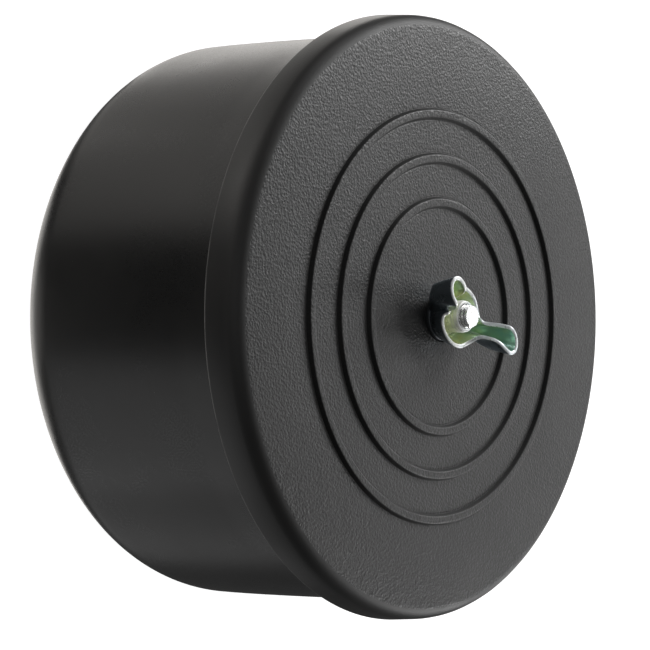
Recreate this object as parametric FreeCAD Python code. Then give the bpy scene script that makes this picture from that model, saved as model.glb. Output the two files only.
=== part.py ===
"""Rock tumbler barrel: a moulded rubber drum closed by a rubber plug, a plastic cover and a wing nut.

Frame: +Z is the barrel's axis and points out of the cover, the origin is the centre of the closed end's
outer face, and the barrel stands on that face.  Millimetres.
"""
import FreeCAD, Part
import math
import os

from FreeCAD import Vector

# ---- driving dimensions ---------------------------------------------------------------------------
# drum
BARREL_RADIUS = 73.5          # the rolling surface
BARREL_CORNER = 8.0           # round corner of the closed end
BARREL_RIM_Z = 72.5           # top of the wall, where the cover rests
BARREL_FLOOR = 7.0            # thickness of the closed end
FLAT_COUNT = 10               # flats inside the drum, which lift the stones
FLAT_DISTANCE = 64.0          # from the axis to a flat
SEAT_RADIUS = 68.5            # round seat of the plug above the flats
SEAT_Z = 60.0                 # ledge that the plug's flange rests on
REBATE_RADIUS = 72.3          # the wall is slightly smaller under the cover's skirt
REBATE_Z = 65.4
MOUTH_CHAMFER = 1.2

# cover
FACE_Z = 75.5                 # the flat outer face
COVER_RADIUS = 75.1           # skirt, just behind the rounded edge of the face
SKIRT_BACK_RADIUS = 76.2      # the skirt widens a little towards its open edge
SKIRT_WALL = 2.6
SKIRT_BACK_Z = 66.05
COVER_EDGE = 3.6              # rounding between skirt and face
RIDGE_RADII = (28.6, 39.6, 50.7)
RIDGE_WIDTH = 2.7
RIDGE_HEIGHT = 1.0
PRESS_RIB = (59.0, 62.0)      # ring under the cover that squeezes the plug
BOSS_RADIUS = 9.0
BOSS_Z = 70.3
STIFFENER_COUNT = 10
STIFFENER_THICKNESS = 2.0
STIFFENER_DEPTH = 2.0
WASHER_POCKET_DEPTH = 0.9
CLEARANCE_HOLE = 3.3          # radius of a clearance hole for an M6 thread

# plug
PLUG_GAP = 0.3                # all round, while the plug is relaxed
PLUG_TOP_Z = 69.0
PLUG_BOTTOM_Z = 56.5
PLUG_RECESS_RADIUS = 16.0
PLUG_RECESS_Z = 64.0
PLATE_RADIUS = 60.0
PLATE_THICKNESS = 2.0

# M6 hardware
THREAD_RADIUS = 2.95
NUT_BORE = 3.0
BOLT_END_Z = 84.95
BOLT_CHAMFER = 0.4
BOLT_HEAD_RADIUS = 7.0
BOLT_HEAD_HEIGHT = 3.2
NECK_SIDE = 6.0               # square neck of the carriage bolt
NECK_HEIGHT = 3.5
NECK_HOLE_SIDE = 6.3
SEAL_RADIUS = 9.0
SEAL_THICKNESS = 1.5
PLUG_WASHER = (12.5, 3.2, 1.5)    # outer radius, hole radius, thickness
JAM_NUT_FLATS = 10.0
JAM_NUT_HEIGHT = 3.2
NUT_WASHER = (6.0, 3.2, 1.6)

# pressed wing nut, in its own frame: Z from its seat, wings along X
WING_ANGLE = -34.0            # direction of one wing about the barrel's axis, degrees
NUT_WALL = 1.0
NUT_BODY_RADIUS = 7.9
NUT_COLLAR_RADIUS = 4.0
NUT_COLLAR_HEIGHT = 6.8
LOBE_RIM = 5.3                # height of the rim round the body
WING_RIM = 12.9               # height of the rim at the wings
WING_REACH = 16.0
WING_UNDERSIDE = 6.6          # height of a wing's underside at its tip

# ---- heights that follow --------------------------------------------------------------------------
COVER_BOTTOM_Z = BARREL_RIM_Z
PLATE_Z = PLUG_BOTTOM_Z - PLATE_THICKNESS
SEAL_Z = PLATE_Z - SEAL_THICKNESS
HEAD_Z = SEAL_Z - BOLT_HEAD_HEIGHT
JAM_NUT_Z = PLUG_RECESS_Z + PLUG_WASHER[2]
WASHER_Z = FACE_Z - WASHER_POCKET_DEPTH
WING_NUT_Z = WASHER_Z + NUT_WASHER[2]

UP = Vector(0, 0, 1)
ORIGIN = Vector(0, 0, 0)


# ---- helpers --------------------------------------------------------------------------------------
def disc(radius, low, high):
    """Cylinder on the axis between two heights."""
    return Part.makeCylinder(radius, high - low, Vector(0, 0, low))


def ring(outer, inner, low, high):
    """Washer-shaped solid on the axis."""
    return disc(outer, low, high).cut(disc(inner, low, high))


def prism(sides, inradius, low, high):
    """Regular prism on the axis, with a flat towards +X."""
    corner = inradius / math.cos(math.pi / sides)
    step = 2 * math.pi / sides
    points = [Vector(corner * math.cos((i + 0.5) * step), corner * math.sin((i + 0.5) * step), low)
              for i in range(sides)]
    outline = Part.makePolygon(points + points[:1])
    return Part.Face(outline).extrude(UP * (high - low))


def revolved(edges):
    """Solid of revolution about Z from the edges of a closed (r, z) outline in the XZ plane."""
    return Part.Face(Part.Wire(Part.__sortEdges__(edges))).revolve(ORIGIN, UP, 360)


def line(start, end):
    """Straight edge between two (r, z) points."""
    return Part.LineSegment(Vector(start[0], 0, start[1]), Vector(end[0], 0, end[1])).toShape()


def arc(start, middle, end):
    """Arc through three (r, z) points."""
    points = [Vector(r, 0, z) for r, z in (start, middle, end)]
    return Part.Arc(*points).toShape()


def corner_middle(centre, radius, degrees):
    """Point of a corner's arc, for arc()."""
    angle = math.radians(degrees)
    return (centre[0] + radius * math.cos(angle), centre[1] + radius * math.sin(angle))


def path(points):
    """Straight edges through a list of (r, z) points."""
    return [line(a, b) for a, b in zip(points, points[1:])]


# ---- pieces ---------------------------------------------------------------------------------------
def make_barrel():
    """Thick rubber drum: round outside, flats inside, and a round stepped seat at its mouth."""
    inner_corner = (BARREL_RADIUS - BARREL_CORNER, BARREL_CORNER)
    start = (inner_corner[0], 0)
    end = (BARREL_RADIUS, BARREL_CORNER)
    outline = [line((0, 0), start), arc(start, corner_middle(inner_corner, BARREL_CORNER, -45), end)]
    outline += path([end, (BARREL_RADIUS, REBATE_Z), (REBATE_RADIUS, REBATE_Z),
                     (REBATE_RADIUS, BARREL_RIM_Z), (0, BARREL_RIM_Z), (0, 0)])
    hollow = prism(FLAT_COUNT, FLAT_DISTANCE, BARREL_FLOOR, SEAT_Z)
    seat = disc(SEAT_RADIUS, SEAT_Z, BARREL_RIM_Z)
    lead_in = Part.makeCone(SEAT_RADIUS, SEAT_RADIUS + MOUTH_CHAMFER, MOUTH_CHAMFER,
                            Vector(0, 0, BARREL_RIM_Z - MOUTH_CHAMFER))
    return revolved(outline).cut(hollow.fuse([seat, lead_in]))


def make_inner_lid():
    """Rubber plug: a spigot that drops between the flats, and a flange on the ledge."""
    spigot = disc(FLAT_DISTANCE - 2 * PLUG_GAP, PLUG_BOTTOM_Z, SEAT_Z)
    flange = disc(SEAT_RADIUS - PLUG_GAP, SEAT_Z, PLUG_TOP_Z)
    recess = disc(PLUG_RECESS_RADIUS, PLUG_RECESS_Z, PLUG_TOP_Z)
    hole = disc(PLUG_WASHER[1], PLUG_BOTTOM_Z, PLUG_TOP_Z)
    return spigot.fuse(flange).cut(recess.fuse(hole))


def square_bar(side, low, high):
    """Square bar on the axis."""
    return Part.makeBox(side, side, high - low, Vector(-side / 2, -side / 2, low))


def make_pressure_plate():
    """Steel disc under the plug, with the square hole that keeps the bolt from turning."""
    plate = disc(PLATE_RADIUS, PLATE_Z, PLUG_BOTTOM_Z)
    return plate.cut(square_bar(NECK_HOLE_SIDE, PLATE_Z, PLUG_BOTTOM_Z))


def make_lid_bolt():
    """Carriage bolt: domed head, square neck and the threaded stud, as a plain M6 shank."""
    rise = BOLT_HEAD_HEIGHT
    dome = (BOLT_HEAD_RADIUS ** 2 + rise ** 2) / (2 * rise)
    middle_radius = BOLT_HEAD_RADIUS / 2
    middle_z = SEAL_Z + (dome - rise) - math.sqrt(dome ** 2 - middle_radius ** 2)
    outline = [arc((0, HEAD_Z), (middle_radius, middle_z), (BOLT_HEAD_RADIUS, SEAL_Z))]
    outline += path([(BOLT_HEAD_RADIUS, SEAL_Z), (THREAD_RADIUS, SEAL_Z),
                     (THREAD_RADIUS, BOLT_END_Z - BOLT_CHAMFER),
                     (THREAD_RADIUS - BOLT_CHAMFER, BOLT_END_Z), (0, BOLT_END_Z), (0, HEAD_Z)])
    return revolved(outline).fuse(square_bar(NECK_SIDE, SEAL_Z, SEAL_Z + NECK_HEIGHT)).removeSplitter()


def make_bolt_seal():
    """Rubber washer that keeps water away from the bolt's hole."""
    hole = NECK_SIDE / math.sqrt(2) + 0.1
    return ring(SEAL_RADIUS, hole, SEAL_Z, PLATE_Z)


def make_plug_washer():
    """Wide washer on top of the plug."""
    outer, hole, thickness = PLUG_WASHER
    return ring(outer, hole, PLUG_RECESS_Z, PLUG_RECESS_Z + thickness)


def make_jam_nut():
    """Thin hexagon nut that holds bolt, plate and plug together."""
    top = JAM_NUT_Z + JAM_NUT_HEIGHT
    blank = prism(6, JAM_NUT_FLATS / 2, JAM_NUT_Z, top)
    corner = JAM_NUT_FLATS / math.sqrt(3)
    cone = Part.makeCone(corner + JAM_NUT_HEIGHT, corner - 0.5, JAM_NUT_HEIGHT, Vector(0, 0, JAM_NUT_Z))
    return blank.common(cone).cut(disc(NUT_BORE, JAM_NUT_Z, top))


def make_ridge(radius):
    """Low round-topped ring on the cover's face."""
    half = RIDGE_WIDTH / 2
    root_z = FACE_Z - 0.2
    inner = (radius - half, FACE_Z)
    outer = (radius + half, FACE_Z)
    top = arc(inner, (radius, FACE_Z + RIDGE_HEIGHT), outer)
    return revolved([top] + path([outer, (outer[0], root_z), (inner[0], root_z), inner]))


def make_stiffener(index):
    """Radial rib under the cover, from the boss to the pressing ring."""
    length = PRESS_RIB[0] - BOSS_RADIUS + 2
    rib = Part.makeBox(length, STIFFENER_THICKNESS, STIFFENER_DEPTH + 0.2,
                       Vector(BOSS_RADIUS - 1, -STIFFENER_THICKNESS / 2, COVER_BOTTOM_Z - STIFFENER_DEPTH))
    rib.rotate(ORIGIN, UP, 360.0 * (index + 0.5) / STIFFENER_COUNT)
    return rib


def make_cover():
    """Moulded cover: flat ribbed face, rounded edge, skirt, and ribs and a boss underneath."""
    edge_centre = (COVER_RADIUS - COVER_EDGE, FACE_Z - COVER_EDGE)
    edge_start = (COVER_RADIUS, edge_centre[1])
    edge_end = (edge_centre[0], FACE_Z)
    inner_radius = SKIRT_BACK_RADIUS - SKIRT_WALL
    outline = path([(0, COVER_BOTTOM_Z), (inner_radius, COVER_BOTTOM_Z), (inner_radius, SKIRT_BACK_Z),
                    (SKIRT_BACK_RADIUS, SKIRT_BACK_Z), edge_start])
    outline += [arc(edge_start, corner_middle(edge_centre, COVER_EDGE, 45), edge_end)]
    outline += path([edge_end, (0, FACE_Z), (0, COVER_BOTTOM_Z)])
    additions = [make_ridge(radius) for radius in RIDGE_RADII]
    additions += [make_stiffener(i) for i in range(STIFFENER_COUNT)]
    additions += [ring(PRESS_RIB[1], PRESS_RIB[0], PLUG_TOP_Z, COVER_BOTTOM_Z + 0.2),
                  disc(BOSS_RADIUS, BOSS_Z, COVER_BOTTOM_Z + 0.2)]
    shell = revolved(outline).fuse(additions)
    pocket = disc(NUT_WASHER[0] + 0.3, WASHER_Z, FACE_Z)
    return shell.cut(pocket.fuse(disc(CLEARANCE_HOLE, BOSS_Z, FACE_Z))).removeSplitter()


def make_nut_washer():
    """Flat washer between cover and wing nut."""
    outer, hole, thickness = NUT_WASHER
    return ring(outer, hole, WASHER_Z, WASHER_Z + thickness)


def wing_outline():
    """Plan of one wing: it widens outwards and has a rounded tip."""
    root_low = Vector(4.0, -1.4, 0)
    tip_low = Vector(14.2, -1.8, 0)
    tip = Vector(WING_REACH, 0.8, 0)
    tip_high = Vector(14.0, 4.1, 0)
    shoulder = Vector(11.0, 4.8, 0)
    root_high = Vector(4.0, 2.4, 0)
    edges = [Part.LineSegment(root_low, tip_low).toShape(), Part.Arc(tip_low, tip, tip_high).toShape()]
    corners = [tip_high, shoulder, root_high, root_low]
    edges += [Part.LineSegment(a, b).toShape() for a, b in zip(corners, corners[1:])]
    return Part.Face(Part.Wire(edges))


def half_turn(shape):
    """Copy of a shape turned half a turn about the nut's axis."""
    copy = shape.copy()
    copy.rotate(ORIGIN, UP, 180)
    return copy


def side_band(profile):
    """Solid with a (distance along the wings, height) profile, wide enough to cover the nut."""
    points = [Vector(d, -2 * NUT_BODY_RADIUS, z) for d, z in profile]
    face = Part.Face(Part.makePolygon(points + points[:1]))
    return face.extrude(Vector(0, 4 * NUT_BODY_RADIUS, 0))


def mirrored_profile(half):
    """Full profile from its half on the positive side, listed from the lowest point round to the top."""
    return half + [(-d, z) for d, z in reversed(half)]


def make_wing_nut():
    """Pressed wing nut: a thin upstanding wall round a cup and two hollow wings, and a threaded collar."""
    wing = wing_outline()
    plan = Part.Face(Part.Wire(Part.makeCircle(NUT_BODY_RADIUS)))
    plan = plan.fuse([wing, half_turn(wing)]).removeSplitter().Faces[0]
    inner_plan = plan.makeOffset2D(-NUT_WALL)
    reach = WING_REACH + 1
    outside = mirrored_profile([(NUT_BODY_RADIUS - 2, 0), (reach, WING_UNDERSIDE), (reach, WING_RIM),
                                (11.0, WING_RIM - 0.5), (NUT_BODY_RADIUS - 1, LOBE_RIM)])
    inside = mirrored_profile([(NUT_BODY_RADIUS - 2, NUT_WALL), (reach, WING_UNDERSIDE + NUT_WALL),
                               (reach, WING_RIM + 1)])
    tall = UP * (WING_RIM + 2)
    outer = plan.extrude(tall).common(side_band(outside))
    hollow = inner_plan.extrude(tall).common(side_band(inside))
    collar = disc(NUT_COLLAR_RADIUS, 0, NUT_COLLAR_HEIGHT)
    nut = outer.cut(hollow).fuse(collar).cut(disc(NUT_BORE, 0, WING_RIM)).removeSplitter()
    nut.rotate(ORIGIN, UP, WING_ANGLE)
    nut.translate(Vector(0, 0, WING_NUT_Z))
    return nut


PIECES = {
    "barrel": make_barrel,
    "inner_lid": make_inner_lid,
    "pressure_plate": make_pressure_plate,
    "lid_bolt": make_lid_bolt,
    "bolt_seal": make_bolt_seal,
    "plug_washer": make_plug_washer,
    "jam_nut": make_jam_nut,
    "cover": make_cover,
    "nut_washer": make_nut_washer,
    "wing_nut": make_wing_nut,
}

os.makedirs("parts", exist_ok=True)
for name, make in PIECES.items():
    piece = make()
    if len(piece.Solids) == 1:
        piece = piece.Solids[0]
    box = piece.BoundBox
    print(f"{name:15s} solids {len(piece.Solids)} valid {piece.isValid()} volume {piece.Volume:10.1f} mm3"
          f"  z {box.ZMin:6.2f} to {box.ZMax:6.2f}  across {box.XLength:6.2f} x {box.YLength:6.2f}")
    piece.exportStep(f"parts/{name}.step")
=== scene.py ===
"""Looks of the rock tumbler barrel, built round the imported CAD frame.  Metres, +Z out of the cover."""
import math

import bmesh
import bpy
from mathutils import Matrix, Vector
from mathutils.geometry import delaunay_2d_cdt


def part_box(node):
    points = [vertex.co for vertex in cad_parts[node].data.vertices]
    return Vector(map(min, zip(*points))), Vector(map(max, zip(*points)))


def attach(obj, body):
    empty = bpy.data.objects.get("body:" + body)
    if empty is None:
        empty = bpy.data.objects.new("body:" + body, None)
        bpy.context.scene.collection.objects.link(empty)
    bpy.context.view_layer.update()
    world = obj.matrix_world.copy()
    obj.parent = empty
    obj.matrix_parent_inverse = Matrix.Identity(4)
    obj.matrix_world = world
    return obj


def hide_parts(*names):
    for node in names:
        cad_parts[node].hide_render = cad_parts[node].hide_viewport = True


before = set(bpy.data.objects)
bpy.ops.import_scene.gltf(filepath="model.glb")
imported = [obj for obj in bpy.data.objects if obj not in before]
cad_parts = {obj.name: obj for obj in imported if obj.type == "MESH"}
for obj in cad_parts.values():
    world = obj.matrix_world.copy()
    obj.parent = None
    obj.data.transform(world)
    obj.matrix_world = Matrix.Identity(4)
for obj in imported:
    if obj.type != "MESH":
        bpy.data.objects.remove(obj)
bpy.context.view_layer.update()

MM = 0.001

# ---- driving sizes, in millimetres, from the frame where it has them --------------------------------


def top(node):
    """Height of a CAD node's top."""
    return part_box(node)[1].z / MM


def bottom(node):
    """Height of a CAD node's underside."""
    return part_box(node)[0].z / MM


def radius(node):
    """Largest radius of a round CAD node."""
    return round(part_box(node)[1].y / MM, 1)


# Drum: its wall draws in from the closed end's oval corner up to DRAWN_Z, and is straight from there.
BARREL_R = radius("barrel")
RIM_Z = top("barrel")
CLOSED_R = BARREL_R + 0.5
MOUTH_R = BARREL_R - 1.6
CORNER_IN = 7.0
CORNER_UP = 11.0
DRAWN_Z = 56.0
FLOOR_Z = 7.0
LEDGE_Z = 60.0
FLATS = 10
FLAT_R = 64.0
FLOOR_FILLET = 4.0
SEAT_R = 68.5
MOUTH_CHAMFER = 1.2
REBATE_R = MOUTH_R - 0.7
REBATE_Z = 65.4

# Cover: RIDGES are the ridges' radii.  PRESS_RIB is the inner and outer radius of the ring that presses the
# plug down, and PRESS_RIB_Z is where that ring ends.
SKIRT_R = radius("cover")
SKIRT_Z = bottom("cover")
FACE_Z = 75.5
SKIRT_FRONT_R = SKIRT_R - 1.1
EDGE_ROUND = 3.6
GRAIN_R = 72.4
SKIRT_WALL = 2.6
RIDGES = (28.6, 39.6, 50.7)
RIDGE_HALF = 1.45
RIDGE_HEIGHT = 0.95
PRESS_RIB = (59.0, 62.0)
PRESS_RIB_Z = 69.0
BOSS_R = 9.0
BOSS_Z = RIM_Z - 2.2
STIFFENERS = 10
STIFFENER_WIDTH = 1.9
STIFFENER_DEPTH = 2.0
POCKET_R = 6.3
HOLE_R = 3.3

# Plug, plate, washers and bolt
PLUG_HOLE = 3.2
WASHER_HOLE = 3.2
SEAL_HOLE = 4.35
RECESS_R = 16.0
RECESS_Z = 64.0
PLATE_HOLE = 3.15
HEAD_R = 7.0
NECK_HALF = 3.0
NECK_HEIGHT = 3.5
THREAD_R = 2.95
THREAD_DEPTH = 0.5
THREAD_CORE = THREAD_R - 0.35
PITCH = 1.0

# Sides of the round meshes, by size
LARGE_ROUND = 360
MIDDLE_ROUND = 240
SMALL_ROUND = 96


# ---- mesh helpers ----------------------------------------------------------------------------------
def add_object(name, mesh, body, slot, *replaced):
    """Links a mesh as a piece on a body, standing for the CAD nodes named."""
    piece = bpy.data.objects.new(name, mesh)
    bpy.context.scene.collection.objects.link(piece)
    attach(piece, body)
    if replaced:
        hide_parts(*replaced)
    return piece


def finish_mesh(name, bm, sharp_degrees=35):
    """Mesh from a bmesh: welded, normals outward, smooth except at real edges."""
    bmesh.ops.remove_doubles(bm, verts=bm.verts, dist=1e-7)
    bmesh.ops.recalc_face_normals(bm, faces=bm.faces)
    mesh = bpy.data.meshes.new(name)
    bm.to_mesh(mesh)
    bm.free()
    for polygon in mesh.polygons:
        polygon.use_smooth = True
    mesh.set_sharp_from_angle(angle=math.radians(sharp_degrees))
    return mesh


def rounded(points, steps=6):
    """(r, z) outline from (r, z, fillet) corners, each fillet a run of short chords."""
    outline = []
    count = len(points)
    for i, (r, z, fillet) in enumerate(points):
        here = Vector((r, z))
        if fillet <= 0:
            outline.append(here)
            continue
        before = Vector(points[(i - 1) % count][:2]) - here
        after = Vector(points[(i + 1) % count][:2]) - here
        half = before.angle(after) / 2
        reach = min(fillet / math.tan(half), 0.8 * before.length, 0.8 * after.length)
        size = reach * math.tan(half)
        start = here + before.normalized() * reach
        end = here + after.normalized() * reach
        centre = here + (before.normalized() + after.normalized()).normalized() * (size / math.sin(half))
        first = start - centre
        turn = first.angle_signed(end - centre)
        for k in range(steps + 1):
            outline.append(centre + Matrix.Rotation(-turn * k / steps, 2) @ first)
    return outline


def lathe(outline, segments, shape=None):
    """Closed bmesh of revolution about Z from an (r, z) outline in millimetres.
    shape(r, z, angle) may give another radius, for walls that aren't round."""
    bm = bmesh.new()
    rows = []
    for r, z in outline:
        if r < 1e-6:
            rows.append([bm.verts.new((0, 0, z * MM))] * segments)
            continue
        row = []
        for k in range(segments):
            angle = 2 * math.pi * k / segments
            size = shape(r, z, angle) if shape else r
            row.append(bm.verts.new((size * MM * math.cos(angle), size * MM * math.sin(angle), z * MM)))
        rows.append(row)
    for a, b in zip(rows, rows[1:] + rows[:1]):
        for k in range(segments):
            corners = []
            for vert in (a[k], a[(k + 1) % segments], b[(k + 1) % segments], b[k]):
                if vert not in corners:
                    corners.append(vert)
            if len(corners) > 2:
                bm.faces.new(corners)
    return bm


def flats_radius(angle, sides, inradius, largest):
    """Radius at an angle of a regular polygon with a flat towards +X, cut off at the largest radius."""
    step = 2 * math.pi / sides
    off = (angle + step / 2) % step - step / 2
    return min(inradius / math.cos(off), largest)


# ---- material helpers ------------------------------------------------------------------------------
class Nodes:
    """Short way to build one node material."""

    def __init__(self, name):
        self.material = bpy.data.materials.new(name)
        self.material.use_nodes = True
        self.tree = self.material.node_tree
        self.shader = self.tree.nodes["Principled BSDF"]
        self.place = self.add("ShaderNodeTexCoord").outputs["Object"]

    def add(self, kind, links=None, **settings):
        """Node with settings by attribute, and links from other sockets."""
        node = self.tree.nodes.new(kind)
        for key, value in settings.items():
            setattr(node, key, value)
        for key, socket in (links or {}).items():
            self.tree.links.new(socket, node.inputs[key])
        return node

    def noise(self, scale, detail=3.0, roughness=0.55, place=None):
        """Noise from 0 to 1, scale in cells per metre."""
        node = self.add("ShaderNodeTexNoise", {"Vector": place or self.place})
        node.inputs["Scale"].default_value = scale
        node.inputs["Detail"].default_value = detail
        node.inputs["Roughness"].default_value = roughness
        return node.outputs["Fac"]

    def cells(self, scale):
        """Distance to the nearest cell centre, scale in cells per metre."""
        node = self.add("ShaderNodeTexVoronoi", {"Vector": self.place})
        node.inputs["Scale"].default_value = scale
        return node.outputs["Distance"]

    def stretched(self, x, y, z):
        """Object coordinates scaled along each axis."""
        node = self.add("ShaderNodeMapping", {"Vector": self.place})
        node.inputs["Scale"].default_value = (x, y, z)
        return node.outputs["Vector"]

    def along(self, axis):
        """Object coordinate along one axis, in metres."""
        return self.add("ShaderNodeSeparateXYZ", {"Vector": self.place}).outputs[axis]

    def spread(self, socket, low, high, out_low, out_high):
        """Maps low..high of a socket to out_low..out_high, clamped."""
        node = self.add("ShaderNodeMapRange", {"Value": socket})
        for key, value in (("From Min", low), ("From Max", high), ("To Min", out_low), ("To Max", out_high)):
            node.inputs[key].default_value = value
        return node.outputs["Result"]

    def maths(self, operation, a, b):
        """Maths node of two sockets or numbers."""
        node = self.add("ShaderNodeMath", operation=operation)
        for i, value in enumerate((a, b)):
            if isinstance(value, (int, float)):
                node.inputs[i].default_value = value
            else:
                self.tree.links.new(value, node.inputs[i])
        return node.outputs["Value"]

    def ramp(self, socket, *stops):
        """Colour ramp with (position, (r, g, b)) stops."""
        node = self.add("ShaderNodeValToRGB", {"Fac": socket})
        elements = node.color_ramp.elements
        while len(elements) < len(stops):
            elements.new(0.5)
        for element, (position, colour) in zip(elements, stops):
            element.position = position
            element.color = (*colour, 1)
        return node.outputs["Color"]

    def blend(self, share, base, colour):
        """Mixes a plain colour over a colour socket."""
        node = self.add("ShaderNodeMix", data_type="RGBA")
        self.tree.links.new(share, node.inputs["Factor"])
        colours = [socket for socket in node.inputs if socket.type == "RGBA"]
        self.tree.links.new(base, colours[0])
        colours[1].default_value = (*colour, 1)
        return next(socket for socket in node.outputs if socket.type == "RGBA")

    def bump(self, height, distance, strength):
        """Bump from a height socket, distance in metres."""
        node = self.add("ShaderNodeBump", {"Height": height})
        node.inputs["Distance"].default_value = distance
        node.inputs["Strength"].default_value = strength
        return node.outputs["Normal"]

    def use(self, **sockets):
        """Links sockets, or sets numbers and colours, on the shader."""
        for key, value in sockets.items():
            target = self.shader.inputs[key.replace("_", " ")]
            if isinstance(value, bpy.types.NodeSocket):
                self.tree.links.new(value, target)
            else:
                target.default_value = value
        return self.material


def grey(level, warmth=0.0):
    """Grey colour, slightly warm where asked."""
    return (level * (1 + warmth), level, level * (1 - warmth))


# ---- materials -------------------------------------------------------------------------------------
def drum_rubber():
    """Smooth satin rubber: faint blooms, fine grain and a few pale dust specks."""
    n = Nodes("drum_rubber")
    bloom = n.noise(38, 4, 0.6)
    grain = n.noise(2600, 2)
    specks = n.spread(n.cells(420), 0.035, 0.06, 1, 0)
    sparse = n.spread(n.noise(300, 1), 0.6, 0.66, 0, 1)
    base = n.ramp(bloom, (0.3, grey(0.006)), (0.7, grey(0.01, 0.04)))
    dusty = n.blend(n.maths("MULTIPLY", specks, sparse), base, grey(0.1, 0.03))
    rough = n.maths("ADD", n.spread(bloom, 0.3, 0.7, 0.28, 0.34), n.spread(grain, 0.35, 0.65, -0.03, 0.03))
    return n.use(Base_Color=dusty, Roughness=rough,
                 Normal=n.bump(grain, 0.00003, 0.5), Specular_IOR_Level=0.5)


def cover_skirt():
    """Smooth moulded plastic of the cover's skirt and underside: paler along the open edge as a painted
    highlight, broken up by noise, and more matt from where the rounding towards the face starts."""
    n = Nodes("cover_skirt")
    bloom = n.noise(45, 3)
    grain = n.noise(2200, 3)
    height = n.along("Z")
    # The paler band along the skirt's open edge is a painted highlight, broken up by noise into patches.
    edge = n.spread(height, (SKIRT_Z + 0.3) * MM, (SKIRT_Z + 0.6) * MM, 1, 0)
    painted_edge_highlight = n.maths("MULTIPLY", edge, n.spread(n.noise(160, 3), 0.38, 0.6, 0.35, 1))
    base = n.blend(painted_edge_highlight, n.ramp(bloom, (0.3, grey(0.016)), (0.7, grey(0.022, 0.03))), grey(0.16, 0.02))
    rough = n.maths("ADD", n.spread(bloom, 0.3, 0.7, 0.34, 0.42),
                    n.spread(height, (FACE_Z - 4.5) * MM, (FACE_Z - 2.5) * MM, 0, 0.16))
    return n.use(Base_Color=base, Roughness=rough,
                 Normal=n.bump(grain, 0.00004, 0.5), Specular_IOR_Level=0.5)


def cover_face():
    """Pebbled moulded plastic of the face: a fine leathery grain over soft unevenness."""
    n = Nodes("cover_face")
    pebbles = n.cells(1400)
    fine = n.noise(2100, 2)
    grain = n.maths("ADD", n.maths("MULTIPLY", pebbles, 0.9), fine)
    tone = n.maths("ADD", n.noise(30, 3), n.maths("MULTIPLY", n.maths("SUBTRACT", fine, 0.5), 1.2))
    base = n.ramp(tone, (0.3, grey(0.012)), (0.7, grey(0.022, 0.02)))
    return n.use(Base_Color=base, Roughness=n.spread(fine, 0.35, 0.65, 0.38, 0.58),
                 Normal=n.bump(grain, 0.00013, 0.85), Specular_IOR_Level=0.5)


def cover_flank_shade():
    """The same plastic on the ridges' steep flanks, painted darker than the face as painted shade, and more
    matt than the face.
    """
    n = Nodes("cover_flank_shade")
    grain = n.noise(2100, 2)
    # Painted shade: the flank colour is darker than the face's, for the shade on the ridges' steep sides.
    base = n.ramp(grain, (0.35, grey(0.007)), (0.65, grey(0.014, 0.02)))
    return n.use(Base_Color=base, Roughness=n.spread(grain, 0.3, 0.7, 0.55, 0.65),
                 Normal=n.bump(grain, 0.00006, 0.6), Specular_IOR_Level=0.25)


def plug_rubber():
    """Matt rubber of the plug and the bolt's seal."""
    n = Nodes("plug_rubber")
    bloom = n.noise(60, 4)
    grain = n.noise(1900, 3)
    base = n.ramp(bloom, (0.3, grey(0.018)), (0.7, grey(0.032, 0.03)))
    return n.use(Base_Color=base, Roughness=n.spread(bloom, 0.3, 0.7, 0.6, 0.75),
                 Normal=n.bump(grain, 0.00008, 0.6))


def plate_steel():
    """Rolled stainless sheet with faint straight rolling marks and scuffs."""
    n = Nodes("plate_steel")
    marks = n.noise(900, 3, 0.6, n.stretched(1, 0.03, 1))
    scuffs = n.noise(70, 4)
    base = n.ramp(scuffs, (0.3, grey(0.5, 0.01)), (0.7, grey(0.6)))
    return n.use(Base_Color=base, Metallic=1.0, Roughness=n.spread(marks, 0.3, 0.7, 0.22, 0.42),
                 Normal=n.bump(marks, 0.00001, 0.5))


def zinc(name, hues, shine, rough, uneven=0.00002):
    """Zinc plate whose clear film drifts between a few hues, half by chance and half along X.
    shine is how metallic it looks, and uneven is the depth of its dimples in metres."""
    n = Nodes(name)
    by_chance = n.maths("MULTIPLY", n.noise(260, 2, 0.5), 0.5)
    drift = n.maths("ADD", by_chance, n.spread(n.along("X"), -0.01, 0.014, 0, 0.5))
    dimples = n.noise(900, 2)
    base = n.ramp(drift, *[(0.25 + 0.16 * i, hue) for i, hue in enumerate(hues)])
    return n.use(Base_Color=base, Metallic=shine, Roughness=n.spread(dimples, 0.3, 0.7, rough, rough + 0.08),
                 Normal=n.bump(dimples, uneven, 0.35))


# Hue sets of the zinc plating. On the wing nut, GREEN_ZINC, WHITE_ZINC and BLUE_ZINC are lit and shaded
# copies of one plating: brighter green in the hollows is painted light, white on the rim and collar is a
# painted highlight, and darker blue outside is painted shade. DARK_ZINC darkens the washer under the nut as
# painted shade.
WHITE_ZINC = [(0.86, 0.88, 0.88), (0.9, 0.9, 0.88), (0.84, 0.88, 0.9)]
GREEN_ZINC = [(0.42, 0.6, 0.38), (0.84, 0.86, 0.4), (0.6, 0.76, 0.5), (0.42, 0.68, 0.6)]
DARK_ZINC = [(0.1, 0.11, 0.12), (0.14, 0.15, 0.16), (0.12, 0.13, 0.13)]
BLUE_ZINC = [(0.4, 0.47, 0.52), (0.5, 0.56, 0.6), (0.36, 0.44, 0.5)]


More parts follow.
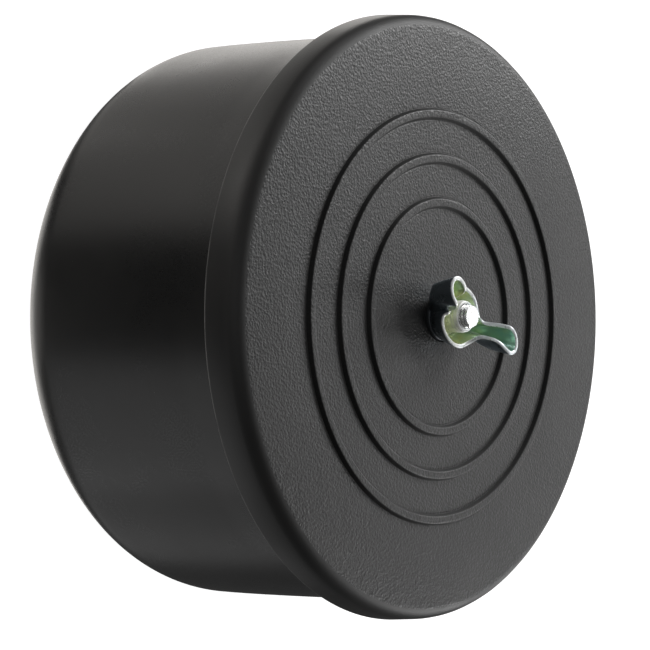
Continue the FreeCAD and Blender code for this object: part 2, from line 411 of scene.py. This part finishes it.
# ---- drum ------------------------------------------------------------------------------------------
def drum_outside():
    """Outside of the drum below DRAWN_Z: an oval corner, then a wall that draws in towards the mouth."""
    corner_steps = 16
    wall_steps = 12
    quickening = 1.3
    outline = [Vector((0, 0))]
    for k in range(corner_steps + 1):
        turn = math.pi / 2 * k / corner_steps
        r = CLOSED_R - CORNER_IN * (1 - math.sin(turn))
        z = CORNER_UP * (1 - math.cos(turn))
        outline.append(Vector((r, z)))
    for k in range(1, wall_steps):
        share = k / wall_steps
        r = CLOSED_R - (CLOSED_R - MOUTH_R) * share ** quickening
        z = CORNER_UP + (DRAWN_Z - CORNER_UP) * share
        outline.append(Vector((r, z)))
    return outline


def make_barrel(material):
    """Rubber drum: round outside, flats with rounded corners inside, stepped seat at the mouth."""
    outline = drum_outside() + rounded([
        (MOUTH_R, DRAWN_Z, 0), (MOUTH_R, REBATE_Z, 0.25), (REBATE_R, REBATE_Z, 0.1),
        (REBATE_R, RIM_Z, 0.5), (SEAT_R + MOUTH_CHAMFER, RIM_Z, 0.3), (SEAT_R, RIM_Z - MOUTH_CHAMFER, 0.3),
        (SEAT_R, LEDGE_Z, 0.2), (FLAT_R, LEDGE_Z, 0.4), (FLAT_R, FLOOR_Z, FLOOR_FILLET), (0, FLOOR_Z, 0)],
        steps=10)
    slack = 0.01
    to_corner = 0.985 / math.cos(math.pi / FLATS)

    def shape(r, z, angle):
        in_hollow = FLOOR_Z - slack <= z <= LEDGE_Z + slack
        if in_hollow and FLAT_R - FLOOR_FILLET - 1 < r <= FLAT_R + slack:
            return flats_radius(angle, FLATS, r, r * to_corner)
        return r

    mesh = finish_mesh("barrel_drum", lathe(outline, LARGE_ROUND, shape))
    mesh.materials.append(material)
    return add_object("barrel_drum", mesh, "barrel", "drum_rubber", "barrel")


# ---- cover -----------------------------------------------------------------------------------------
def ridge_outline(centre):
    """Outline of one ridge, from its outer root to its inner root, with a small crease at each root."""
    crease_half = RIDGE_HALF + 0.35
    crown_half = RIDGE_HALF * 0.62
    crease_z = FACE_Z - 0.08
    crown_z = FACE_Z + RIDGE_HEIGHT
    return [(centre + crease_half, FACE_Z, 0.2), (centre + RIDGE_HALF, crease_z, 0.15),
            (centre + crown_half, crown_z, 0.55), (centre - crown_half, crown_z, 0.55),
            (centre - RIDGE_HALF, crease_z, 0.15), (centre - crease_half, FACE_Z, 0.2)]


def make_cover(face_material, skirt_material, flank_shade_material):
    """Moulded cover: skirt, rounded edge, pebbled face with three ridges, and its underside."""
    rib_in, rib_out = PRESS_RIB
    inner_r = SKIRT_R - SKIRT_WALL
    pocket_z = bottom("nut_washer") - 0.03
    corners = [(HOLE_R, BOSS_Z, 0.3), (BOSS_R, BOSS_Z, 0.5), (BOSS_R, RIM_Z, 0.5),
               (rib_in, RIM_Z, 0.5), (rib_in, PRESS_RIB_Z, 0.5), (rib_out, PRESS_RIB_Z, 0.5),
               (rib_out, RIM_Z, 0.5), (inner_r, RIM_Z, 0.6), (inner_r, SKIRT_Z, 0.3),
               (SKIRT_R, SKIRT_Z, 0.35), (SKIRT_FRONT_R, FACE_Z, EDGE_ROUND)]
    for centre in reversed(RIDGES):
        corners += ridge_outline(centre)
    corners += [(POCKET_R, FACE_Z, 0.2), (POCKET_R, pocket_z, 0.1), (HOLE_R, pocket_z, 0.2)]
    mesh = finish_mesh("cover_shell", lathe(rounded(corners), LARGE_ROUND), sharp_degrees=50)
    for material in (skirt_material, face_material, flank_shade_material):
        mesh.materials.append(material)
    face_floor = (FACE_Z - 1.0) * MM
    steepest_face = 0.86
    # Steep faces on the ridges take the darker flank material, which is painted shade.
    for polygon in mesh.polygons:
        across = math.hypot(polygon.center.x, polygon.center.y) / MM
        if across < GRAIN_R and polygon.center.z > face_floor:
            polygon.material_index = 1 if polygon.normal.z > steepest_face else 2
    return add_object("cover_shell", mesh, "cover", "cover_plastic", "cover")


def make_stiffeners(material):
    """Ribs under the cover, from the boss to the pressing ring."""
    bm = bmesh.new()
    sunk = 0.3
    length = PRESS_RIB[0] - BOSS_R + 2 * sunk
    middle_r = BOSS_R - sunk + length / 2
    middle_z = RIM_Z + 0.1 - STIFFENER_DEPTH / 2
    for i in range(STIFFENERS):
        turn = Matrix.Rotation(2 * math.pi * (i + 0.5) / STIFFENERS, 4, "Z")
        place = Matrix.Translation((middle_r * MM, 0, middle_z * MM))
        size = Matrix.Diagonal((length * MM, STIFFENER_WIDTH * MM, STIFFENER_DEPTH * MM, 1))
        made = bmesh.ops.create_cube(bm, size=1, matrix=turn @ place @ size)
        edges = {edge for vert in made["verts"] for edge in vert.link_edges}
        bmesh.ops.bevel(bm, geom=list(edges), offset=0.35 * MM, segments=3, affect="EDGES")
    mesh = finish_mesh("cover_stiffeners", bm)
    mesh.materials.append(material)
    return add_object("cover_stiffeners", mesh, "cover", "cover_plastic")


# ---- plug and its steelwork ------------------------------------------------------------------------
def make_plug(material):
    """Rubber plug with two sealing lips round its flange and a recess for the nut."""
    low = bottom("inner_lid")
    high = top("inner_lid")
    flange = radius("inner_lid")
    waist = flange - 0.9
    body = FLAT_R - 0.6
    corners = [(PLUG_HOLE, low, 0.3), (body, low, 1.0), (body, LEDGE_Z, 0.2), (flange, LEDGE_Z, 0.6),
               (flange, LEDGE_Z + 2.2, 0.6), (waist, LEDGE_Z + 2.9, 0.4), (waist, LEDGE_Z + 4.6, 0.4),
               (flange, LEDGE_Z + 5.3, 0.6), (flange, high - 1.6, 0.6), (flange - 1.2, high, 0.6),
               (RECESS_R, high, 0.8), (RECESS_R, RECESS_Z, 0.8), (PLUG_HOLE, RECESS_Z, 0.3)]
    mesh = finish_mesh("plug", lathe(rounded(corners), MIDDLE_ROUND))
    mesh.materials.append(material)
    return add_object("plug", mesh, "inner_lid", "plug_rubber", "inner_lid")


def make_plate(material):
    """Steel plate under the plug: rolled edge, square hole, and a shallow pressed ring that stiffens it."""
    low = bottom("pressure_plate")
    high = top("pressure_plate")
    edge = radius("pressure_plate")
    pressed = low + 0.6
    corners = [(PLATE_HOLE, low, 0.1), (28, low, 1.5), (30, pressed, 1.5), (36, pressed, 1.5), (38, low, 1.5),
               (edge, low, 0.6), (edge, high, 0.6), (PLATE_HOLE, high, 0.1)]

    def shape(r, z, angle):
        at_hole = r < PLATE_HOLE + 0.5
        return flats_radius(angle, 4, PLATE_HOLE, PLATE_HOLE * 1.38) if at_hole else r

    mesh = finish_mesh("plate", lathe(rounded(corners), MIDDLE_ROUND, shape))
    mesh.materials.append(material)
    return add_object("plate", mesh, "inner_lid", "plate_steel", "pressure_plate")


def make_washer(name, node, hole, body, slot, material):
    """Flat washer with a soft punched edge on top."""
    low = bottom(node)
    high = top(node)
    outer = radius(node)
    corners = [(hole, low, 0.1), (outer, low, 0.1), (outer, high, 0.3), (hole, high, 0.3)]
    mesh = finish_mesh(name, lathe(rounded(corners), SMALL_ROUND))
    mesh.materials.append(material)
    return add_object(name, mesh, body, slot, node)


def thread_radius(z, angle):
    """Radius of a right-hand M6 thread with flattened crests."""
    phase = (z / PITCH - angle / (2 * math.pi)) % 1.0
    flank = abs(2 * phase - 1)
    return THREAD_R - THREAD_DEPTH * min(1.0, max(0.0, 1.15 * flank - 0.08))


def make_bolt(material):
    """Carriage bolt: domed head, square neck and a real helical thread up to a chamfered end."""
    seal_z = bottom("bolt_seal")
    head_z = bottom("lid_bolt")
    end_z = top("lid_bolt")
    end_r = THREAD_R - 0.35
    edge_z = seal_z - 0.5
    neck_z = seal_z + NECK_HEIGHT
    thread_start = seal_z + 6.5
    dome_steps = 10
    outline = []
    for k in range(dome_steps + 1):
        share = k / dome_steps
        outline.append(Vector((HEAD_R * share, head_z + (edge_z - head_z) * share ** 2.2)))
    outline += [Vector((HEAD_R, seal_z - 0.1)), Vector((HEAD_R - 0.15, seal_z)), Vector((NECK_HALF, seal_z)),
                Vector((NECK_HALF, neck_z)), Vector((THREAD_CORE, neck_z + 0.5)),
                Vector((THREAD_CORE, thread_start))]
    step = 0.1
    rows = int((end_z - thread_start) / step)
    outline += [Vector((THREAD_R, thread_start + step * (k + 1))) for k in range(rows)]
    outline += [Vector((end_r, end_z)), Vector((end_r - 0.3, end_z)), Vector((0, end_z))]

    def shape(r, z, angle):
        if thread_start < z < end_z - 0.001:
            run_in = min(1.0, (z - thread_start) / PITCH)
            threaded = THREAD_CORE + (thread_radius(z, angle) - THREAD_CORE) * run_in
            return min(threaded, end_r + (end_z - z))
        if seal_z <= z <= neck_z and r <= NECK_HALF:
            return flats_radius(angle, 4, NECK_HALF, NECK_HALF * 1.33)
        return r

    mesh = finish_mesh("bolt", lathe(outline, 72, shape), sharp_degrees=40)
    mesh.materials.append(material)
    return add_object("bolt", mesh, "inner_lid", "zinc_hardware", "lid_bolt")


def make_jam_nut(material):
    """Thin hexagon nut with its corners turned off."""
    low = bottom("jam_nut")
    high = top("jam_nut")
    half_across = 5.0
    corner = half_across / math.cos(math.pi / 6)
    turned = corner - 0.7
    bore = 3.0
    mouth = 3.35
    outline = rounded([(bore, low + 0.3, 0.05), (mouth, low, 0.05), (turned, low, 0.05),
                       (corner, low + 0.45, 0.05), (corner, high - 0.45, 0.05), (turned, high, 0.05),
                       (mouth, high, 0.05), (bore, high - 0.3, 0.05)], steps=3)

    def shape(r, z, angle):
        return flats_radius(angle + math.pi / 6, 6, half_across, r) if r > half_across - 0.8 else r

    mesh = finish_mesh("jam_nut_hex", lathe(outline, 144, shape), sharp_degrees=25)
    mesh.materials.append(material)
    return add_object("jam_nut_hex", mesh, "inner_lid", "zinc_hardware", "jam_nut")


# ---- pressed wing nut ------------------------------------------------------------------------------
# Half of the rim, (along the wings, across them, height above the seat): up one side of a wing, round its
# tip, back down the other side and round the low lobe of the cup.  The other half is the same, turned 180.
RIM_HALF = [
    (6.8, 3.4, 7.3), (8.8, 4.1, 10.8), (11.2, 4.8, 12.6), (13.9, 4.2, 12.8), (15.7, 2.4, 12.8),
    (16.0, 0.2, 12.8), (14.5, -1.5, 12.8), (12.2, -1.9, 12.7), (9.7, -1.7, 12.1), (8.4, -1.5, 10.8),
    (7.4, -1.7, 7.6), (6.7, -3.8, 5.6), (4.7, -6.3, 5.3), (1.2, -7.8, 5.3), (-2.8, -7.5, 5.3),
    (-5.7, -5.6, 5.3), (-6.6, -4.2, 5.8)]
WING_ANGLE = -34.0
WING_REACH = 16.0
SHEET = 1.0
NUT_SEAT_R = 6.3
UNDERSIDE_RISE = 0.68
WALL_ROWS = 12
BORE_R = 3.03
COLLAR_R = 4.0
COLLAR_TOP = 6.8

# Outside of the collar, upwards: (radius past COLLAR_R, depth below COLLAR_TOP, fillet)
COLLAR_OUTSIDE = (
    (0.0, 1.9, 0.1), (-0.18, 1.7, 0.1), (-0.18, 1.45, 0.1), (0.05, 1.2, 0.15), (0.05, 0.9, 0.15),
    (-0.2, 0.65, 0.1), (-0.05, 0.35, 0.15), (-0.25, 0.0, 0.2))


def on_line(a, b, start, end, t):
    """Point at t on the straight line that passes a at start and b at end."""
    return a.lerp(b, (t - start) / (end - start))


def closed_curve(points, per_span):
    """Smooth curve through a closed run of points, without overshoot at uneven spacing."""
    count = len(points)
    curve = []
    for i in range(count):
        run = [points[(i + k) % count] for k in (-1, 0, 1, 2)]
        knots = [0.0]
        for a, b in zip(run, run[1:]):
            knots.append(knots[-1] + math.sqrt((b - a).length))
        for k in range(per_span):
            t = knots[1] + (knots[2] - knots[1]) * k / per_span
            chords = [on_line(run[j], run[j + 1], knots[j], knots[j + 1], t) for j in range(3)]
            early = on_line(chords[0], chords[1], knots[0], knots[2], t)
            late = on_line(chords[1], chords[2], knots[1], knots[3], t)
            curve.append(on_line(early, late, knots[1], knots[2], t))
    return curve


def underside(along):
    """Height of the pressing's underside: level under the cup, rising along the wings."""
    return max(0.0, abs(along) - NUT_SEAT_R) * UNDERSIDE_RISE


def wing_share(along):
    """0 in the cup, 1 out in a wing."""
    t = min(1.0, max(0.0, (abs(along) - 6.0) / 3.5))
    return t * t * (3 - 2 * t)


def foot(point, within):
    """Where the wall under a rim point meets the underside; within is the rim point moved inwards."""
    round_foot = point.xy * (NUT_SEAT_R / point.xy.length)
    plan = round_foot.lerp(within.xy, wing_share(point.x))
    return Vector((plan.x, plan.y, underside(plan.x)))


def inset(curve, distance, passes=1):
    """A closed curve moved towards its inside in plan, then evened out."""
    count = len(curve)
    moved = []
    for i, point in enumerate(curve):
        along = curve[(i + 1) % count] - curve[i - 1]
        side = Vector((along.y, -along.x, 0)).normalized()
        moved.append(point + side * distance)
    for _ in range(passes):
        moved = [(moved[i - 1] + moved[i] * 2 + moved[(i + 1) % count]) / 4 for i in range(count)]
    return moved


def circle(r, z, segments=72):
    """Points round a circle in millimetres."""
    return [Vector((r * math.cos(2 * math.pi * k / segments), r * math.sin(2 * math.pi * k / segments), z))
            for k in range(segments)]


def bridge(bm, rings, material=0):
    """Faces between closed rings that have equal counts."""
    for a, b in zip(rings, rings[1:]):
        for k in range(len(a)):
            j = (k + 1) % len(a)
            bm.faces.new((a[k], a[j], b[j], b[k])).material_index = material


def web(bm, outer, hole, lift, material=0):
    """Floor between a closed outer ring and a round hole, following the underside's height."""
    boundary = [v.co / MM for v in outer] + [v.co / MM for v in hole]
    count = len(outer)
    edges = [(i, (i + 1) % count) for i in range(count)]
    edges += [(count + i, count + (i + 1) % len(hole)) for i in range(len(hole))]
    hole_r = hole[0].co.xy.length / MM
    outline = [p.xy for p in boundary[:count]]
    inner = []
    spacing = 0.7
    row_gap = 0.6
    margin = 0.4
    steps = math.ceil(WING_REACH / row_gap)
    for i in range(-steps, steps + 1):
        for j in range(-steps, steps + 1):
            spot = Vector((i * spacing + (j % 2) * spacing / 2, j * row_gap))
            if not hole_r + margin < spot.length < WING_REACH:
                continue
            if min((spot - p).length for p in outline) > margin and inside(spot, outline):
                inner.append(spot)
    flat = [p.xy for p in boundary] + inner
    places, _, faces, origin, _, _ = delaunay_2d_cdt(flat, edges, [], 0, 1e-6)
    verts = {}
    for i, place in enumerate(places):
        first = origin[i][0]
        if first < count:
            verts[i] = outer[first]
        elif first < len(boundary):
            verts[i] = hole[first - count]
        else:
            verts[i] = bm.verts.new((place.x * MM, place.y * MM, (underside(place.x) + lift) * MM))
    for face in faces:
        middle = sum((places[i] for i in face), Vector((0, 0))) / 3
        if middle.length > hole_r and inside(middle, outline):
            bm.faces.new([verts[i] for i in face]).material_index = material


def inside(spot, outline):
    """Whether a plan point is within a closed outline."""
    odd = False
    for a, b in zip(outline, outline[1:] + outline[:1]):
        if (a.y > spot.y) != (b.y > spot.y) and spot.x < a.x + (b.x - a.x) * (spot.y - a.y) / (b.y - a.y):
            odd = not odd
    return odd


def wall(curve, feet, rows, depth):
    """Rings down a wall from the rim curve, rounding under to the foot curve and a little inward.  depth is
    0 for the sheet's outside, and the sheet's thickness for its inside."""
    rounding = 0.8 - depth * 0.6
    under = [Vector((p.x, p.y, underside(p.x) + depth)) for p in inset(feet, rounding, 6)]
    rings = []
    for k in range(rows + 1):
        s = k / rows
        ring = []
        for rim_point, corner, low in zip(curve, feet, under):
            corner = Vector((corner.x, corner.y, corner.z + depth))
            ring.append(rim_point * (1 - s) ** 2 + corner * (2 * s * (1 - s)) + low * s * s)
        rings.append(ring)
    return rings


def make_wing_nut(hollow, edge, outside):
    """Sheet pressed into a cup with two hollow wings and a collar drawn up in the middle."""
    half = [Vector(p) for p in RIM_HALF]
    rim = closed_curve(half + [Vector((-p.x, -p.y, p.z)) for p in half], 7)
    feet = [foot(p, q) for p, q in zip(rim, inset(rim, 1.3, 12))]
    bead = SHEET * 0.3
    outer_rim = [p - Vector((0, 0, bead)) for p in rim]
    inner_rim = inset(outer_rim, SHEET)
    outer_rings = list(reversed(wall(outer_rim, feet, WALL_ROWS, 0)))
    edge_rings = []
    for share, lift in ((0.06, 0.55), (0.2, 0.9), (0.5, 1.0), (0.8, 0.9), (0.94, 0.55)):
        rise = Vector((0, 0, bead * lift))
        edge_rings.append([a.lerp(b, share) + rise for a, b in zip(outer_rim, inner_rim)])
    inner_rings = wall(inner_rim, inset(feet, SHEET * 0.9, 6), WALL_ROWS, SHEET)
    bm = bmesh.new()
    skin = [[bm.verts.new(p * MM) for p in ring] for ring in outer_rings + edge_rings + inner_rings]
    edge_start = len(outer_rings) - 1
    edge_end = len(outer_rings) + len(edge_rings)
    # Outside walls take material 2, the painted-shade copy; the rolled rim and the collar take material 1,
    # the painted-highlight copy; the insides take material 0, the copy with painted light.
    bridge(bm, skin[:edge_start + 1], 2)
    bridge(bm, skin[edge_start:edge_end + 1], 1)
    bridge(bm, skin[edge_end:])
    corners = [(COLLAR_R + 0.45, SHEET, 0), (COLLAR_R, SHEET, 0.4)]
    corners += [(COLLAR_R + out, COLLAR_TOP - down, fillet) for out, down, fillet in COLLAR_OUTSIDE]
    corners += [(BORE_R + 0.3, COLLAR_TOP, 0.2), (BORE_R, COLLAR_TOP - 0.4, 0.1),
                (BORE_R, 0.4, 0.1), (BORE_R + 0.4, 0, 0)]
    collar = [[bm.verts.new(p * MM) for p in circle(r, z)] for r, z in rounded(corners, steps=4)]
    bridge(bm, collar, 1)
    web(bm, skin[-1], collar[0], SHEET)
    web(bm, skin[0], collar[-1], 0, 2)
    mesh = finish_mesh("wing_nut_pressing", bm, sharp_degrees=60)
    mesh.transform(Matrix.Translation((0, 0, bottom("wing_nut") * MM))
                   @ Matrix.Rotation(math.radians(WING_ANGLE), 4, "Z"))
    for material in (hollow, edge, outside):
        mesh.materials.append(material)
    return add_object("wing_nut_pressing", mesh, "wing_nut", "zinc_nut", "wing_nut")


# ---- studio, in metres -----------------------------------------------------------------------------
STAGE_R = 3.0
FLOOR_GAP = 0.0002


def camera_only(obj):
    """The backdrop shows to the camera, and neither lights nor shades the object."""
    obj.visible_diffuse = False
    obj.visible_glossy = False
    obj.visible_transmission = False
    obj.visible_shadow = False


def pale(name, glow, albedo):
    """Pale backdrop material that is nearly shadowless."""
    n = Nodes(name)
    mottle = n.ramp(n.noise(3, 2), (0.3, grey(albedo)), (0.7, grey(albedo * 1.02)))
    return n.use(Base_Color=mottle, Roughness=1.0, Specular_IOR_Level=0.0,
                 Emission_Color=(1, 1, 1, 1), Emission_Strength=glow)


def make_stage():
    """Plain pale floor under the closed end, and a plain pale backdrop all round."""
    bm = bmesh.new()
    bmesh.ops.create_circle(bm, cap_ends=True, segments=96, radius=STAGE_R)
    floor_mesh = bpy.data.meshes.new("floor")
    bm.to_mesh(floor_mesh)
    bm.free()
    floor_mesh.materials.append(pale("floor_paper", 1.0, 0.3))
    floor = bpy.data.objects.new("floor", floor_mesh)
    floor.location.z = -FLOOR_GAP
    bm = bmesh.new()
    bmesh.ops.create_uvsphere(bm, u_segments=96, v_segments=48, radius=STAGE_R)
    dome_mesh = bpy.data.meshes.new("backdrop")
    bm.to_mesh(dome_mesh)
    bm.free()
    dome_mesh.materials.append(pale("backdrop_paper", 1.1, 0.2))
    dome = bpy.data.objects.new("backdrop", dome_mesh)
    for obj in (floor, dome):
        bpy.context.scene.collection.objects.link(obj)
        camera_only(obj)


# Soft boxes: name, place, watts, size, all turned to the barrel.  The ones with Z below 0 stand past its
# closed end, where its wall and the skirt mirror them; the others light the face, the edge and the nut.
SOFT_BOXES = (
    ("key_upper", (0.52, 0.42, 0.4), 4.4, (0.4, 0.4)),
    ("key_lower", (0.65, -0.48, 0.34), 2.9, (0.33, 0.33)),
    ("catch", (0.74, -0.03, 0.42), 0.8, (0.26, 0.3)),
    ("above", (0.1, 0.75, 0.35), 0.6, (0.4, 0.4)),
    ("over_face", (0.1, 0.0, 0.95), 0.9, (0.4, 0.4)),
    ("behind_camera", (-0.75, 0.1, 0.5), 0.4, (0.4, 0.4)),
    ("top_near", (-0.5, 0.72, -0.6), 0.75, (0.7, 0.55)),
    ("near_left", (-0.62, 0.6, -0.16), 0.85, (0.4, 0.4)),
    ("top_middle", (0.1, 0.72, -0.6), 0.6, (0.6, 0.55)),
    ("top_far", (0.62, 0.6, -0.6), 1.3, (0.5, 0.5)),
    ("far_card", (0.85, 0.0, -0.66), 2.3, (0.5, 0.9)),
    ("below", (0.15, 0.0, -0.8), 1.6, (0.6, 0.6)),
    ("below_near", (-0.2, 0.0, -0.82), 0.45, (0.3, 0.8)),
    ("low_near", (-0.6, -0.57, -0.6), 0.85, (0.8, 0.5)),
    ("low_middle", (0.0, -0.72, -0.6), 0.35, (0.6, 0.5)),
)
# Light of the boxes past the closed end that aren't low in the picture, where +Y is up
WARM = (1.0, 0.97, 0.93)
ROOM = 0.07


def make_lights():
    """Soft boxes round the barrel, hidden from the camera, and a dim room."""
    middle = Vector((0, 0, RIM_Z * MM / 2))
    for name, place, power, size in SOFT_BOXES:
        data = bpy.data.lights.new(name, "AREA")
        data.shape = "RECTANGLE"
        data.size, data.size_y = size
        data.energy = power
        if place[2] < 0 <= place[1]:
            data.color = WARM
        light = bpy.data.objects.new(name, data)
        light.location = place
        light.rotation_mode = "QUATERNION"
        light.rotation_quaternion = (middle - Vector(place)).to_track_quat("-Z", "Y")
        light.visible_camera = False
        bpy.context.scene.collection.objects.link(light)
    world = bpy.data.worlds.new("room")
    world.use_nodes = True
    background = world.node_tree.nodes["Background"]
    background.inputs["Color"].default_value = (1, 1, 1, 1)
    background.inputs["Strength"].default_value = ROOM
    bpy.context.scene.world = world


# Where the camera looks, how far off it stands and at which angles in degrees, which side is up, and its
# focal length in millimetres
AIM = Vector((-0.0187, -0.0024, 0.0531))
DISTANCE = 0.4618
AZIMUTH = 1.74
DEPRESSION = 39.97
CAMERA_UP = Vector((-0.0253, 0.9997, 0.0061))
LENS = 102.1


def make_camera():
    """Long lens that looks past the cover along the barrel, with the barrel's axis level in the picture."""
    azimuth = math.radians(AZIMUTH)
    down = math.radians(DEPRESSION)
    level = math.cos(down)
    forward = Vector((math.cos(azimuth) * level, math.sin(azimuth) * level, -math.sin(down)))
    right = forward.cross(CAMERA_UP).normalized()
    up = right.cross(forward)
    data = bpy.data.cameras.new("camera")
    data.lens = LENS
    data.sensor_width = 36
    data.clip_start = 0.01
    data.clip_end = 20
    camera = bpy.data.objects.new("camera", data)
    rotation = Matrix((right, up, -forward)).transposed().to_4x4()
    camera.matrix_world = Matrix.Translation(AIM - forward * DISTANCE) @ rotation
    bpy.context.scene.collection.objects.link(camera)
    bpy.context.scene.camera = camera


# ---- build -----------------------------------------------------------------------------------------
bpy.context.scene.view_settings.view_transform = "Standard"
make_camera()
make_stage()
make_lights()

rubber = drum_rubber()
skirt = cover_skirt()
face = cover_face()
soft_rubber = plug_rubber()
hardware = zinc("zinc_hardware", WHITE_ZINC, 0.9, 0.2)

make_barrel(rubber)
make_cover(face, skirt, cover_flank_shade())
make_stiffeners(skirt)
make_plug(soft_rubber)
make_plate(plate_steel())
make_washer("bolt_gasket", "bolt_seal", SEAL_HOLE, "inner_lid", "plug_rubber", soft_rubber)
make_washer("penny_washer", "plug_washer", WASHER_HOLE, "inner_lid", "zinc_hardware", hardware)
# The washer under the wing nut is made dark as painted shade, for the nut's shadow that falls on it.
make_washer("flat_washer", "nut_washer", WASHER_HOLE, "nut_washer", "zinc_hardware",
            zinc("zinc_washer_shade", DARK_ZINC, 0.8, 0.45))
make_bolt(hardware)
make_jam_nut(hardware)
# The nut's hollows, rim and outside take lit and shaded copies of one plating: painted light, a painted
# highlight and painted shade.
make_wing_nut(zinc("zinc_hollow_lit", GREEN_ZINC, 0.62, 0.15, 0.0003), zinc("zinc_rim_highlight", WHITE_ZINC, 0.3, 0.26),
              zinc("zinc_outside_shade", BLUE_ZINC, 1.0, 0.26))
